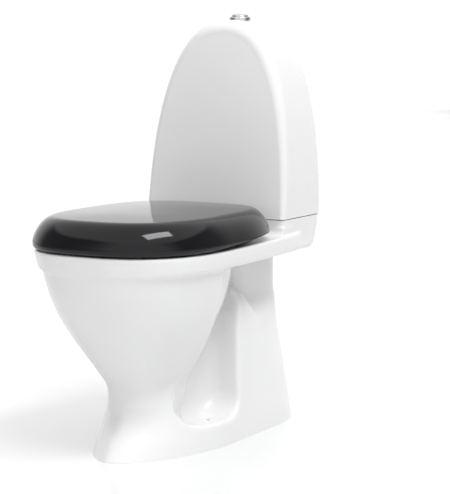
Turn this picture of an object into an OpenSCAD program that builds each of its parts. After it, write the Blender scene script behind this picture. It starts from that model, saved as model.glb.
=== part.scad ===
// Close coupled toilet: a china pan with its outlet hidden in the foot, a china hood over a plastic
// cistern tank, and a seat and lid on two hinge posts. Millimetres, +Z up, the front towards -Y,
// the origin on the floor under the middle of the whole object.

/* [Overall] */
// From the front of the lid to the back of the cistern
overall_depth = 654; // [600:2:800]
// Top of the cistern hood above the floor, without the button
hood_top = 835; // [760:5:1000]

/* [Pan] */
// Top of the china rim above the floor
rim_top = 402; // [380:1:490]
// Width of the china rim at its widest
rim_w = 374; // [340:2:450]
// Height of the rim's outer band
band_h = 36; // [30:1:44]
// Thickness of the china in walls and plates
china = 11; // [9:1:16]
// Width of the opening in the rim
opening_w = 256; // [220:2:280]
// Width of the foot on the floor
foot_w = 257; // [230:1:310]
// Width of the column between the foot and the deck
column_w = 164; // [150:1:166]
// Depth of the side recess, from the foot's widest face to the trap
recess_depth = 84; // [50:1:86]
// Inner radius of the trap passage
trap_r = 31; // [25:1:34]
// Outer radius of the outlet spigot
spigot_r = 51; // [45:0.5:56]
// Radius of the two floor screw holes
floor_hole_r = 4; // [3:0.5:6]

/* [Deck and cistern] */
// Width of the deck and of the hood at its base
hood_w = 326; // [300:2:400]
// Depth of the hood at its base
hood_depth = 167; // [150:1:200]
// Height of the deck above the rim, up to the joint under the hood
deck_rise = 30; // [20:1:45]
// How far the hood's face leans back at the top
hood_lean = 40; // [10:1:50]
// Thickness of the hood's wall
hood_wall = 9; // [7:1:12]
// Radius of the hood's front edge at its base
edge_low = 10; // [7:1:16]
// Radius of the hood's front edge at its top
edge_high = 29; // [18:1:34]
// Thickness of the foam strip in the joint
strip_h = 1.6; // [1:0.2:3]
// Wall of the plastic tank
tank_wall = 3.5; // [2.5:0.5:5]
// Space between the hood and the tank
tank_gap = 4; // [2:0.5:8]
// Height of the plastic tank
tank_h = 262; // [220:2:300]
// Radius of the two tank bolts
tank_bolt_r = 4; // [3:0.5:5]

/* [Flush valve] */
// Distance from the back of the cistern to the valve and the button
valve_back = 55; // [53:1:70]
// Outer radius of the valve's threaded shank
shank_r = 27; // [24:0.5:28]
// Outer radius of the valve's cage
cage_r = 30; // [28:0.5:32]
// Height of the cage above the tank's floor
cage_h = 248; // [200:2:270]
// Outer radius of the overflow tube
overflow_r = 13; // [10:0.5:16]
// Thickness of the rubber seal
seal_h = 4; // [3:0.5:6]

/* [Button] */
// Outer radius of the chrome bezel
bezel_r = 23; // [21:0.5:28]
// Height of the button above the hood
button_rise = 14; // [12:0.5:18]
// How far a button travels
press = 5; // [3:0.5:6]

/* [Fill valve] */
// Distance of the fill valve from the middle
fill_x = 102; // [100:1:108]
// Radius of the threaded inlet shank
inlet_r = 10.45; // [9:0.05:11]
// Length of the inlet shank below the deck's top
inlet_len = 86; // [60:1:100]

/* [Seat and lid] */
// Width of the lid at its widest
lid_w = 380; // [350:2:460]
// Height of the lid's lower edge above the rim at the front
lid_gap = 4; // [3:0.5:10]
// How far the lid's lower edge rises from the middle of the seat to the hinge
lid_sweep = 9; // [4:1:12]
// Height of the lid from its lower edge to its top
lid_h = 63; // [55:1:70]
// How far the seat ring stays inside the lid's outline
seat_inset = 11; // [8:1:16]
// Thickness of the seat ring
seat_h = 15; // [11:1:18]
// Width of the opening in the seat ring
seat_hole_w = 222; // [190:2:250]
// Thickness of the rubber buffers under the seat
buffer_h = 4; // [3:0.5:6]
// Distance between the two hinge bolts
hinge_spacing = 155; // [130:1:180]
// Height of the hinge axis above the rim
hinge_rise = 38; // [33:1:42]
// Radius of the hinge pins
hinge_pin_r = 4; // [3:0.5:5]

/* [Hidden] */
$fn = 64;
// Points round a horizontal ring and along an upright arch
RING = 52;
ARCH = 40;
// Sizes that the china's stations are drawn at
DRAWN_W = 374;
DRAWN_DEPTH = 654;
DRAWN_RIM = 402;
DRAWN_FOOT = 257;
DRAWN_HINGE = 118;

back_edge = 10;        // radius of the hood's back edge
running = 0.05;        // radial play of a pin in its bore
clear = 0.5;           // play between pieces that only pass each other
passing = 1;           // wide play round bolts and shanks

front_y = -overall_depth / 2;
back_y = overall_depth / 2;
deck_front = back_y - hood_depth;
seam = rim_top + deck_rise;
hood_base = seam + strip_h;
hood_height = hood_top - hood_base;
band_low = rim_top - band_h;
plate_low = seam - china;
valve_y = back_y - valve_back;
fill_y = deck_front + 70;
tank_bolt_x = column_w / 2 + 24;
tank_bolt_y = back_y - 42;
trap_leg_y = back_y - 152;
column_front = back_y - 215;
column_back = back_y - 22;
recess_back = back_y - 272;
recess_floor = 50;
recess_in = foot_w / 2 - recess_depth;
floor_hole_x = foot_w / 2 - 38;
floor_hole_y = recess_back - 75;
hinge_y = deck_front - 42;
hinge_z = rim_top + hinge_rise;
hinge_x = hinge_spacing / 2;

tank_under = seam + 6;
tank_floor = tank_under + 4;
tank_top = tank_floor + tank_h;
tank_inset = hood_wall + tank_gap;

bowl_centre = sy(-98);
rim_front = front_y + 2;
lid_low = rim_top + lid_gap;
lid_top = lid_low + lid_h;
lid_rear = deck_front - 10;
lid_edge = 40;
lid_roof = lid_top - 11;
seat_low = rim_top + buffer_h;
seat_top = seat_low + seat_h;

// Drawn widths, depths and heights of the china, stretched to the sizes set above
function sx(v) = v * rim_w / DRAWN_W;
function sy(v) = v * overall_depth / DRAWN_DEPTH;
function sz(v) = v * rim_top / DRAWN_RIM;
function sf(v) = v * foot_w / DRAWN_FOOT;
// Places behind the middle of the bowl, which stay in front of the hinge
function sh(v) = v > 0 ? v * hinge_y / DRAWN_HINGE : sy(v);

// Superellipse power that keeps the sign
function spow(v, n) = sign(v) * pow(abs(v), 2 / n);

// One egg-shaped ring at height z: half width w at yc, from front to rear, squarer as its power
// grows; taper narrows the rear end
function ring(z, w, yc, front, rear, nf = 2.5, nr = 2, taper = 0) = [for (i = [0:RING - 1])
    let (c = cos(360 * i / RING), s = sin(360 * i / RING), n = c > 0 ? nf : nr,
         y = yc - (c > 0 ? yc - front : rear - yc) * spow(c, n),
         t = c > 0 ? 0 : taper * pow((y - yc) / (rear - yc), 2))
    [w * spow(s, n) * (1 - t), y, z]];

// One upright arch of the hood, all of it inset from the outside. Its front edge is rounded by turn,
// its back edge by back_turn, and share goes from 0 at the leaning face to 1 at the back.
function arch(inset, turn, share, back_turn, low) = [for (i = [0:ARCH])
    let (a = 180 * i / ARCH, up = pow(sin(a), 2 / 2.41),
         r = max(edge_low + (edge_high - edge_low) * up - inset, 5),
         s = inset + r * (1 - sin(turn)) + back_edge * (1 - cos(back_turn)),
         face = inset + r * (1 - cos(turn)) + hood_lean * up,
         rear = hood_depth - inset - back_edge * (1 - sin(back_turn)))
    [-(hood_w / 2 - s) * spow(cos(a), 2.45), deck_front + face * (1 - share) + rear * share,
     hood_base + (hood_height - s) * up - (up < 0.01 ? low : 0)]];

// A closed solid through rings of equal length
module loft(rings) {
    n = len(rings[0]);
    m = len(rings);
    sides = [for (k = [0:m - 2], i = [0:n - 1]) let (j = (i + 1) % n)
        each [[k * n + i, (k + 1) * n + i, (k + 1) * n + j], [k * n + i, (k + 1) * n + j, k * n + j]]];
    polyhedron([for (r = rings) each r],
        concat([[for (i = [0:n - 1]) i]], [[for (i = [n - 1:-1:0]) (m - 1) * n + i]], sides));
}

// A round tube of radius r along points in the middle plane, each [y, z]
module swept(path, r) {
    sides = 24;
    last = len(path) - 1;
    loft([for (k = [0:last])
        let (d = path[min(k + 1, last)] - path[max(k - 1, 0)], u = d / norm(d))
        [for (i = [0:sides - 1]) let (a = -360 * i / sides)
            [r * cos(a), path[k][0] - r * sin(a) * u[1], path[k][1] + r * sin(a) * u[0]]]]);
}

// Joins curved solids into one shell
module shell() {
    resize([0, 0, 0]) children();
}

// The same child on both sides
module pair(x) {
    for (side = [-1, 1]) translate([side * x, 0, 0]) children();
}

// A tube standing on z = 0
module tube(r_out, r_in, h) {
    difference() {
        cylinder(r = r_out, h = h);
        translate([0, 0, -1]) cylinder(r = r_in, h = h + 2);
    }
}

// A rod along X, centred on the origin
module rod_x(r, len) {
    rotate([0, 90, 0]) cylinder(r = r, h = len, center = true);
}

// A hexagon nut with a round bore, standing on z = 0
module hex_nut(r, bore, h) {
    difference() {
        cylinder(r = r, h = h, $fn = 6);
        translate([0, 0, -1]) cylinder(r = bore, h = h + 2);
    }
}

// ---- Pan ----

// Stations of the bowl's face: height, half width, middle, front, rear
BOWL = [[98, 69, -81, -190, -51], [112, 69, -77, -187, -47], [135, 74, -74, -189, -44],
    [160, 88, -75, -205, -45], [200, 112, -79, -234, -49], [240, 134, -85, -262, -55],
    [280, 151, -91, -286, -61], [320, 163, -94, -304, -64], [368, 174, -100, -320, -70]];
// Stations of the basin behind it
BASIN = [[98, 46, -80, -140, -36], [130, 58, -82, -160, -24], [160, 75, -86, -180, -6],
    [200, 101, -90, -215, 14], [240, 123, -95, -245, 38], [300, 145, -100, -275, 78],
    [370, 156, -100, -295, 100]];
// Stations of the water side of the basin
WATER = [[110, 32, -86, -140, -56], [135, 47, -88, -170, -40], [160, 63, -90, -188, -20],
    [200, 90, -93, -219, 0], [240, 112, -97, -248, 24], [300, 134, -101, -283, 64],
    [350, 144, -101, -301, 84]];
// Stations of the foot and the side walls over it: height, half width, middle, front
FOOT = [[0, 128.5, 3, -244], [25, 127, 3, -224], [50, 125, 3, -202], [80, 122, 3, -186],
    [105, 120, 3, -178], [125, 119, 3, -168], [200, 117, 10, -60], [232, 112, 20, -50],
    [250, 100, 25, -45], [264, 84, 25, -40]];
FOOT_TAPER = [0, 0.015, 0.04, 0.067, 0.09, 0.12, 0.26, 0.27, 0.2, 0.08];
// Middle line of the trap, from the sump over the weir and down to the spigot
TRAP = [[-96, 150], [-72, 140], [-40, 134], [-8, 146], [18, 172], [40, 202], [66, 228], [98, 240],
    [130, 234], [156, 214]];

function stations(list, low = 0) = [for (s = list)
    ring(sz(s[0]) - low, sx(s[1]), sy(s[2]), sy(s[3]), sh(s[4]))];

// The trap's lower leg drops at trap_leg_y to the spigot
function trap_path() = concat([for (p = TRAP) [sy(p[0]), sz(p[1])]],
    [[trap_leg_y - 3, sz(188)], [trap_leg_y, sz(168)], [trap_leg_y, sz(148)],
     [trap_leg_y, spigot_low + 30]]);

spigot_low = 6;
spigot_top = 92;

module foot_solid(inset = 0, low = 0) {
    loft([for (i = [0:len(FOOT) - 1]) let (s = FOOT[i])
        ring(sz(s[0]) - (i == 0 ? low : 0) - inset * (i > 7 ? 1 : 0), sf(s[1]) - inset,
            sy(s[2]), sy(s[3]) + inset * 1.3, column_back - inset, 1.7, 9, FOOT_TAPER[i])]);
}

// The recess in each side, as a block with the recess's rounded outline
module recesses(grow = 0) {
    outline = [[sy(-122), sz(118)], [sy(-112), recess_floor + 18], [sy(-92), recess_floor],
        [recess_back - 26, recess_floor], [recess_back, recess_floor + 26],
        [recess_back, sz(232)], [recess_back + 24, sz(275)], [sy(-60), sz(290)]];
    for (side = [-1, 1])
        translate([side * (recess_in + 100 - grow), 0, 0])
            rotate([90, 0, 90]) translate([0, 0, -100])
                linear_extrude(200) offset(r = grow) polygon(outline);
}

module column_solid(inset = 0) {
    loft([for (s = [[sz(150), 2], [sz(255), 0], [sz(300), 1], [band_low + 4, 0]])
        ring(s[0] - (s[0] > band_low ? inset + 8 : 0), column_w / 2 - s[1] - inset, column_front + 75,
            column_front + inset, column_back - inset, 3, 6, 0.05)]);
}

// The rim's band, its top rounded over, running back into the deck
module band_solid() {
    loft([for (s = [[0, 9], [3, 5.5], [12, 2.5], [band_h - 6, 0], [band_h - 1.5, 0.6], [band_h, 2.5]])
        ring(band_low + s[0], rim_w / 2 - s[1], bowl_centre, rim_front + s[1], back_y - 30,
            2.6, 9, 0.14)]);
}

// The deck block under the hood, its back leaning in below
module deck_solid() {
    r = 16;
    loft([for (s = [[0, 3, 34], [10, 0, 24], [26, 0, 14], [48, 0, 5], [band_h + deck_rise, 0, 0]])
        ring(band_low + s[0], hood_w / 2 - s[1], deck_front + hood_depth / 2,
            deck_front - (s[0] < band_h ? 40 : 0), back_y - s[2], r, r)]);
    // The cove from the rim up to the deck
    loft([for (a = [0:15:90]) let (cove = 16)
        ring(rim_top - 1 + cove * (1 - cos(a)), hood_w / 2 - 0.2, deck_front + hood_depth / 2,
            deck_front - cove * (1 - sin(a)), back_y - 8, r, r)]);
}

module pan_outside() {
    difference() {
        foot_solid();
        recesses();
    }
    loft(stations(BOWL));
    loft(stations(BASIN));
    column_solid();
    // The web that closes the gap between the basin and the column
    loft([for (z = [sz(205), band_low + 4]) ring(z, 46, sy(120), sy(30), sy(200), 2, 2)]);
    swept(trap_path(), trap_r + china - 3);
    band_solid();
    deck_solid();
}

// The hollow under the foot, open at the floor, clear of the recesses, the trap and the basin
module foot_hollow() {
    difference() {
        foot_solid(china, 5);
        recesses(china);
        swept(trap_path(), trap_r + china - 3);
        translate([-200, sy(-400), sz(88)]) cube([400, recess_back + china + sy(400), 300]);
    }
}

module column_hollow() {
    difference() {
        column_solid(china);
        swept(trap_path(), trap_r + china - 3);
        translate([-100, column_front - 50, 0]) cube([200, 100 + china, 500]);
    }
}

// The pockets under the deck on each side of the column
module deck_hollow() {
    difference() {
        loft([for (s = [[-1, 40], [band_h + deck_rise - china, 16]])
            ring(band_low + s[0], hood_w / 2 - china, deck_front + hood_depth / 2,
                deck_front + china, back_y - s[1], 7, 7)]);
        translate([-column_w / 2, 0, 0]) cube([column_w, back_y, 600]);
    }
}

// The hollow inside the rim, between its outer wall and the wall round the opening
module rim_channel() {
    difference() {
        loft([for (z = [band_low + 9, rim_top - 9]) ring(z, rim_w / 2 - 17, bowl_centre,
            rim_front + 17, sh(92), 2.6, 3)]);
        loft([for (z = [band_low, rim_top])
            ring(z, opening_w / 2 + 8, sy(-94), sy(-292), sh(80), 2.4, 2.2)]);
    }
}

module pan() {
    color("white") difference() {
        union() {
            shell() difference() {
                pan_outside();
                foot_hollow();
                column_hollow();
                deck_hollow();
                // The basin, and the box rim's inner side over it
                loft(stations(WATER));
                loft([for (h = [345, 368, 390, 399, 404])
                    ring(sz(h), opening_w / 2 + (h > 395 ? (h > 400 ? 6 : 2) : 0), sy(-94),
                        sy(-284) - (h > 400 ? 4 : 0), sh(72) + (h > 400 ? 4 : 0), 2.4, 2.2)]);
                swept(trap_path(), trap_r);
                // The flush way: a chamber under the deck, a neck forward and a channel round the rim
                translate([14 - column_w / 2, deck_front + china, band_low + 6])
                    cube([column_w - 28, hood_depth - china - 34, plate_low - band_low - 6]);
                translate([-30, sh(60), band_low + 8]) cube([60, deck_front + china + 1 - sh(60), 18]);
                rim_channel();
            }
            translate([0, trap_leg_y, spigot_low]) cylinder(r = spigot_r, h = spigot_top - spigot_low);
        }
        translate([0, trap_leg_y, 0]) cylinder(r = spigot_r - 8, h = spigot_top - 8);
        translate([0, trap_leg_y, 0]) cylinder(r = trap_r + clear, h = sz(132));
        translate([0, valve_y, plate_low - 6]) cylinder(r = shank_r + 11, h = 200);
        pair(tank_bolt_x) translate([0, tank_bolt_y, plate_low - 20])
            cylinder(r = tank_bolt_r + passing, h = china + 40);
        translate([-fill_x, fill_y, plate_low - 20]) cylinder(r = neck_r + passing, h = china + 40);
        pair(hinge_x) translate([0, hinge_y, band_low - 20])
            cylinder(r = hinge_pin_r + passing, h = band_h + 25);
        pair(floor_hole_x) translate([0, floor_hole_y, recess_floor - china - 5])
            cylinder(r = floor_hole_r, h = china + 10);
    }
}

// ---- Cistern ----

// The hood's outside, or its inside at a given inset, reaching low under its base
module hood_solid(inset = 0, low = 0) {
    loft(concat([for (a = [0:15:90]) arch(inset, a, 0, 0, low)],
        [for (share = [0.3, 0.65]) arch(inset, 90, share, 0, low)],
        [for (a = [0:30:90]) arch(inset, 90, 1, a, low)]));
}

module cistern_cover() {
    color("white") difference() {
        shell() difference() {
            hood_solid();
            hood_solid(hood_wall, 5);
        }
        translate([0, valve_y, hood_top - 60]) cylinder(r = bezel_r - 2.5, h = 80);
    }
}

// A flat outline of the hood's base, as a slab from z = 0
module base_slab(inset, h) {
    r = max(edge_low - inset, 3);
    translate([0, deck_front + hood_depth / 2, 0]) linear_extrude(h)
        offset(r = r) square([hood_w - 2 * inset - 2 * r, hood_depth - 2 * inset - 2 * r], center = true);
}

module cover_strip() {
    color("black") translate([0, 0, seam]) difference() {
        base_slab(2.5, strip_h);
        translate([0, 0, -1]) base_slab(hood_wall, strip_h + 2);
    }
}

module inner_tank() {
    color("whitesmoke") difference() {
        shell() difference() {
            intersection() {
                hood_solid(tank_inset);
                translate([-300, 0, tank_under]) cube([600, 600, tank_top - tank_under]);
            }
            intersection() {
                hood_solid(tank_inset + tank_wall);
                translate([-300, 0, tank_floor]) cube([600, 600, tank_h + 5]);
            }
        }
        translate([0, valve_y, seam]) cylinder(r = shank_r + clear, h = 20);
        translate([-fill_x, fill_y, seam]) cylinder(r = neck_r + clear, h = 20);
        pair(tank_bolt_x) translate([0, tank_bolt_y, seam]) cylinder(r = tank_bolt_r + clear, h = 20);
    }
}

module tank_gasket() {
    color("dimgray") translate([0, valve_y, seam]) tube(shank_r + 18, shank_r + 12.5, tank_under - seam);
}

module tank_bolts() {
    color("silver") pair(tank_bolt_x) translate([0, tank_bolt_y, 0]) {
        translate([0, 0, plate_low - 20]) cylinder(r = tank_bolt_r, h = tank_floor + 3 - plate_low + 20);
        translate([0, 0, tank_floor + 3]) cylinder(r = tank_bolt_r * 2, h = 5);
    }
}

module tank_bolt_washers() {
    color("dimgray") pair(tank_bolt_x) translate([0, tank_bolt_y, 0]) {
        translate([0, 0, tank_floor]) tube(tank_bolt_r + 7, tank_bolt_r + 0.1, 3);
        translate([0, 0, seam]) tube(tank_bolt_r + 7, tank_bolt_r + 0.1, tank_under - seam);
        translate([0, 0, plate_low - 2]) tube(tank_bolt_r + 7, tank_bolt_r + 0.1, 2);
    }
}

module tank_nuts() {
    color("silver") pair(tank_bolt_x) translate([0, tank_bolt_y, plate_low - 2 - 7])
        hex_nut(tank_bolt_r * 2, tank_bolt_r, 7);
}

// ---- Flush valve ----

seat_z = tank_floor + 6;
cage_top = tank_floor + cage_h;
lever_z = cage_top + 14;
lever_x = 6;
lever_y = -8;
press_arm = 9;
lift_arm = 12;
lever_h = 3;
rod_r = 1.5;
half_rod_x = -13;

module flush_valve_body() {
    color("lightgray") translate([0, valve_y, 0]) difference() {
        union() {
            translate([0, 0, tank_floor]) cylinder(r = shank_r + 9, h = 6);
            translate([0, 0, seam - 16]) cylinder(r = shank_r, h = tank_floor - seam + 16);
            translate([0, 0, tank_floor]) cylinder(r = cage_r, h = cage_h);
            // The ear that carries the lever's pin
            translate([lever_x - 3, lever_y - 6.5, cage_top - 1]) cube([6, 3, lever_z + 3 - cage_top + 1]);
        }
        translate([0, 0, seam - 20]) cylinder(r = shank_r - 4, h = 120);
        translate([0, 0, seat_z]) cylinder(r = cage_r - 2.5, h = cage_top - 3 - seat_z);
        for (a = [45:90:315]) rotate(a) translate([5, -12, seat_z + 2]) cube([cage_r, 24, 55]);
        translate([0, 0, cage_top - 5]) cylinder(r = 3 + clear, h = 10);
        translate([half_rod_x, 0, cage_top - 5]) cylinder(r = rod_r + clear, h = 10);
        translate([lever_x, lever_y - 5, lever_z]) rotate([90, 0, 0])
            cylinder(r = 1.5, h = 12, center = true);
    }
}

module flush_valve_nut() {
    color("lightgray") translate([0, valve_y, seam - 8]) tube(shank_r + 8, shank_r, 13.5);
}

module overflow_tube() {
    color("lightsteelblue") translate([0, valve_y, 0]) {
        translate([0, 0, seat_z + seal_h + 0.2]) tube(shank_r - 4, overflow_r - 2, 4);
        translate([0, 0, seat_z + seal_h + 4.2])
            tube(overflow_r, overflow_r - 2, cage_top - 24 - seat_z - seal_h - 4.2);
    }
}

module valve_seal() {
    color("black") translate([0, valve_y, seat_z + 0.2]) tube(shank_r - 1, overflow_r - 2, seal_h);
}

// The stem that the lever lifts, on a bridge over the overflow tube
module lift_stem() {
    color("lightsteelblue") translate([0, valve_y, 0]) {
        translate([0, 0, cage_top - 24]) difference() {
            cylinder(r = overflow_r, h = 4);
            for (a = [0:90:270]) rotate(a) translate([4.5, 2, -1]) cube([4.5, 4.5, 6]);
        }
        translate([0, 0, cage_top - 20]) cylinder(r = 3, h = lever_z + lever_h / 2 + 0.6 - cage_top + 20);
        // The head that the lever lifts, set over the lever's long arm
        translate([-2.8, 0, lever_z + lever_h / 2 + 0.6]) cylinder(r = 7.4, h = 3);
    }
}

module lift_lever() {
    color("gray") translate([lever_x, valve_y + lever_y, lever_z]) difference() {
        union() {
            translate([-lift_arm - 1, -2.5, -lever_h / 2]) cube([lift_arm + press_arm + 3, 5, lever_h]);
            rotate([90, 0, 0]) cylinder(r = 3, h = 5, center = true);
        }
        rotate([90, 0, 0]) cylinder(r = 1.5 + running, h = 12, center = true);
    }
}

module lever_pin() {
    color("silver") translate([lever_x, valve_y + lever_y - 2, lever_z])
        rotate([90, 0, 0]) cylinder(r = 1.5, h = 9.5, center = true);
}

// ---- Button ----

button_r = bezel_r - 4.4;
button_low = hood_top - 15 - press;
split_x = -3;

// A button's half of the split disc, with a domed top
module button_half(side) {
    translate([0, valve_y, 0]) intersection() {
        union() {
            translate([0, 0, button_low]) cylinder(r = button_r, h = hood_top + button_rise - 4 - button_low);
            translate([0, 0, hood_top + button_rise - 4]) intersection() {
                cylinder(r = button_r, h = 5);
                translate([0, 0, 4 - 45]) sphere(r = 45);
            }
        }
        translate([side > 0 ? split_x : split_x - 0.8 - 60, -30, button_low - 1]) cube([60, 60, 80]);
    }
}

module full_flush_button() {
    color("silver") button_half(1);
}

module half_flush_button() {
    color("silver") button_half(-1);
}

module full_push_rod() {
    low = lever_z + lever_h / 2 + 1.3;
    color("white") translate([lever_x + press_arm, valve_y + lever_y, low])
        cylinder(r = rod_r, h = button_low - low);
}

module half_push_rod() {
    low = cage_top - 6;
    color("white") translate([half_rod_x, valve_y, low]) cylinder(r = rod_r, h = button_low - low);
}

module button_bezel() {
    color("silver") translate([0, valve_y, 0]) rotate_extrude()
        polygon([[button_r + 0.4, hood_top - 44], [bezel_r - 3, hood_top - 44],
            [bezel_r - 3, hood_top + 0.1], [bezel_r, hood_top + 0.1], [bezel_r, hood_top + 2],
            [bezel_r - 1.5, hood_top + 5], [button_r + 1.4, hood_top + 7], [button_r + 0.4, hood_top + 6]]);
}

module bezel_nut() {
    color("lightgray") translate([0, valve_y, hood_top - hood_wall - 12])
        tube(bezel_r + 5, bezel_r - 3, 8);
}

module rod_guide() {
    color("whitesmoke") translate([0, valve_y, hood_top - 42]) difference() {
        cylinder(r = button_r + 0.4, h = 3);
        translate([lever_x + press_arm, lever_y, -1]) cylinder(r = rod_r + 0.3, h = 5);
        translate([half_rod_x, 0, -1]) cylinder(r = rod_r + 0.3, h = 5);
        translate([0, 9, -1]) cylinder(r = 3, h = 5);
    }
}

// ---- Fill valve ----

fill_top = tank_floor + 180;
// The free thread below the nut, and the thicker neck through the deck and the tank
inlet_free = inlet_len - china - 17;
neck_r = inlet_r + 0.3;
arm_x = 14;
arm_y = -17;

module fill_valve_body() {
    color("white") translate([-fill_x, fill_y, 0]) difference() {
        union() {
            translate([0, 0, seam - inlet_len]) cylinder(r = inlet_r, h = inlet_free + 1);
            translate([0, 0, seam - inlet_len + inlet_free])
                cylinder(r = neck_r, h = tank_floor + 3 - seam + inlet_len - inlet_free);
            translate([0, 0, tank_floor + 2]) cylinder(r = 17, h = 5);
            translate([0, 0, tank_floor + 6]) cylinder(r = 11, h = fill_top - 30 - tank_floor - 6);
            translate([0, 0, fill_top - 30]) cylinder(r = 15, h = 30);
            // The bracket of the float arm
            translate([arm_x - 5, arm_y + 4, fill_top - 12]) cube([10, 12, 12]);
        }
        translate([0, 0, seam - inlet_len - 1]) cylinder(r = 6, h = inlet_len + 60);
        translate([arm_x, arm_y, fill_top - 6]) rotate([90, 0, 0]) cylinder(r = 2, h = 30, center = true);
    }
}

module fill_valve_gasket() {
    color("dimgray") translate([-fill_x, fill_y, tank_floor]) tube(17, neck_r, 2);
}

module fill_valve_nut() {
    color("white") translate([-fill_x, fill_y, plate_low - 12]) hex_nut(17, neck_r, 12);
}

// The arm turns on its own axle, which runs in the bracket's bore
module float_arm() {
    color("lightsteelblue") translate([arm_x - fill_x, fill_y + arm_y, fill_top - 6]) {
        translate([0, 5, 0]) rotate([90, 0, 0]) cylinder(r = 2 - running, h = 14, center = true);
        rotate([90, 0, 0]) cylinder(r = 5, h = 5, center = true);
        translate([0, -2.5, -4]) cube([34, 5, 6]);
    }
}

module float_cup() {
    color("whitesmoke") translate([arm_x - fill_x + 18, fill_y + arm_y + 3, fill_top - 6 - 64])
        difference() {
            translate([0, -16, 0]) cube([30, 27, 60]);
            translate([2, -14, -1]) cube([26, 23, 59]);
        }
}

// ---- Seat and lid ----

// A ring of the lid's outline, set in all round
function lid_ring(z, inset, rear) =
    ring(z, lid_w / 2 - inset, bowl_centre, front_y + inset, rear, 2.6, 3.8);

lug_r = 9;
seat_lug_in = hinge_x - 18;
lid_lug_in = hinge_x + 9.5;
lug_w = 8;
lid_slot = 2 * (lid_lug_in + lug_w + 9);

module lid_outside() {
    loft(concat([lid_ring(lid_low, 3, lid_rear - 3), lid_ring(lid_low + 3, 0.6, lid_rear - 1),
        lid_ring(lid_low + 7, 0, lid_rear)],
        [for (a = [0:15:90]) let (in = lid_edge * (1 - cos(a)))
            lid_ring(lid_low + 12 + (lid_h - 16) * pow(sin(a), 1.66), in, lid_rear - in * 0.6)],
        [lid_ring(lid_top - 1.6, lid_edge + 40, lid_rear - 60),
         lid_ring(lid_top, lid_edge + 100, lid_rear - 120)]));
}

module lid() {
    color("black") difference() {
        union() {
            shell() difference() {
                lid_outside();
                // The hollow under the lid
                loft(concat([lid_ring(lid_low - 5, 6, lid_rear - 6)], [for (a = [0:15:90])
                    let (in = lid_edge * (1 - cos(a)))
                    lid_ring(lid_low + 12 + (lid_roof - lid_low - 12) * pow(sin(a), 1.66),
                        6 + in, lid_rear - 6 - in * 0.6)]));
                // The rear edge, rounded about the hinge so that it clears the rim
                difference() {
                    translate([-300, hinge_y, rim_top - 30]) cube([600, 100, hinge_z - rim_top + 30]);
                    translate([0, hinge_y, hinge_z]) rod_x(hinge_rise - 2, 700);
                }
                // The opening behind the posts
                translate([-lid_slot / 2, hinge_y + 5, rim_top])
                    cube([lid_slot, 100, hinge_rise + 14]);
                // The lower edge, which sweeps up towards the hinge
                rotate([90, 0, 90]) translate([0, 0, -300]) linear_extrude(600)
                    polygon([[bowl_centre, lid_low - 10], [hinge_y + 60, lid_low - 10],
                        for (t = [1:-0.125:0]) [bowl_centre + t * (hinge_y + 60 - bowl_centre),
                            lid_low - 0.1 + (lid_sweep + 0.1) * t * t]]);
            }
            for (side = [-1, 1]) translate([side * (lid_lug_in + lug_w / 2), hinge_y, hinge_z]) {
                rod_x(lug_r - 1, lug_w);
                translate([-lug_w / 2, -7, 0]) cube([lug_w, 14, lid_roof + 2 - hinge_z]);
            }
        }
        for (side = [-1, 1]) translate([side * (lid_lug_in + lug_w / 2), hinge_y, hinge_z])
            rod_x(hinge_pin_r + running, lug_w + 4);
    }
}

module lid_buffers() {
    color("dimgray") for (y = [sy(-235), sy(20)]) pair(lid_w / 2 - (y < sy(-100) ? 90 : 60))
        translate([0, y, seat_top + 0.4]) cylinder(r = 6, h = lid_roof - seat_top - 0.4);
}

module seat_ring() {
    outline_rear = hinge_y - 22;
    color("black") difference() {
        union() {
            shell() difference() {
                loft([for (s = [[0, 3], [3, 0], [seat_h - 5, 0], [seat_h - 1.5, 3], [seat_h, 7]])
                    ring(seat_low + s[0], lid_w / 2 - seat_inset - s[1], bowl_centre,
                        front_y + seat_inset + s[1], outline_rear - s[1], 2.6, 3.4)]);
                loft([for (s = [[-1, -3], [2, 0], [seat_h - 6, 0], [seat_h - 2, -4], [seat_h + 1, -10]])
                    ring(seat_low + s[0], seat_hole_w / 2 - s[1], sy(-100), sy(-268) + s[1],
                        outline_rear - 34 - s[1], 2.3, 2.2)]);
            }
            for (side = [-1, 1]) translate([side * (seat_lug_in + lug_w / 2), 0, 0]) {
                translate([0, hinge_y, hinge_z]) rod_x(lug_r, lug_w);
                translate([-lug_w / 2, outline_rear - 18, seat_low + 3])
                    cube([lug_w, hinge_y - outline_rear + 18 + lug_r, seat_h - 3]);
                translate([-lug_w / 2, hinge_y - lug_r, seat_low + 3])
                    cube([lug_w, 2 * lug_r, hinge_z - seat_low - 3]);
            }
        }
        for (side = [-1, 1]) translate([side * (seat_lug_in + lug_w / 2), hinge_y, hinge_z])
            rod_x(hinge_pin_r + running, lug_w + 4);
    }
}

module seat_buffers() {
    color("dimgray") for (y = [sy(-235), sy(0)]) pair(y < sy(-100) ? sx(118) : sx(150))
        translate([0, y, rim_top + 0.2]) cylinder(r = 9, h = buffer_h - 0.2);
}

module hinge_posts() {
    color("silver") for (side = [-1, 1]) translate([side * hinge_x, hinge_y, 0]) difference() {
        union() {
            translate([0, 0, rim_top]) cylinder(r = 15, h = 5);
            translate([-8, -8, rim_top]) cube([16, 16, hinge_rise]);
            translate([0, 0, hinge_z]) rod_x(8, 16);
        }
        translate([0, 0, hinge_z]) rod_x(hinge_pin_r, 20);
        translate([0, 0, rim_top - 1]) cylinder(r = hinge_pin_r, h = hinge_rise - 9);
    }
}

module hinge_pins() {
    color("silver") for (side = [-1, 1])
        translate([side * ((seat_lug_in + lid_lug_in + lug_w) / 2), hinge_y, hinge_z])
            rod_x(hinge_pin_r, lid_lug_in + lug_w - seat_lug_in + 2);
}

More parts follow.
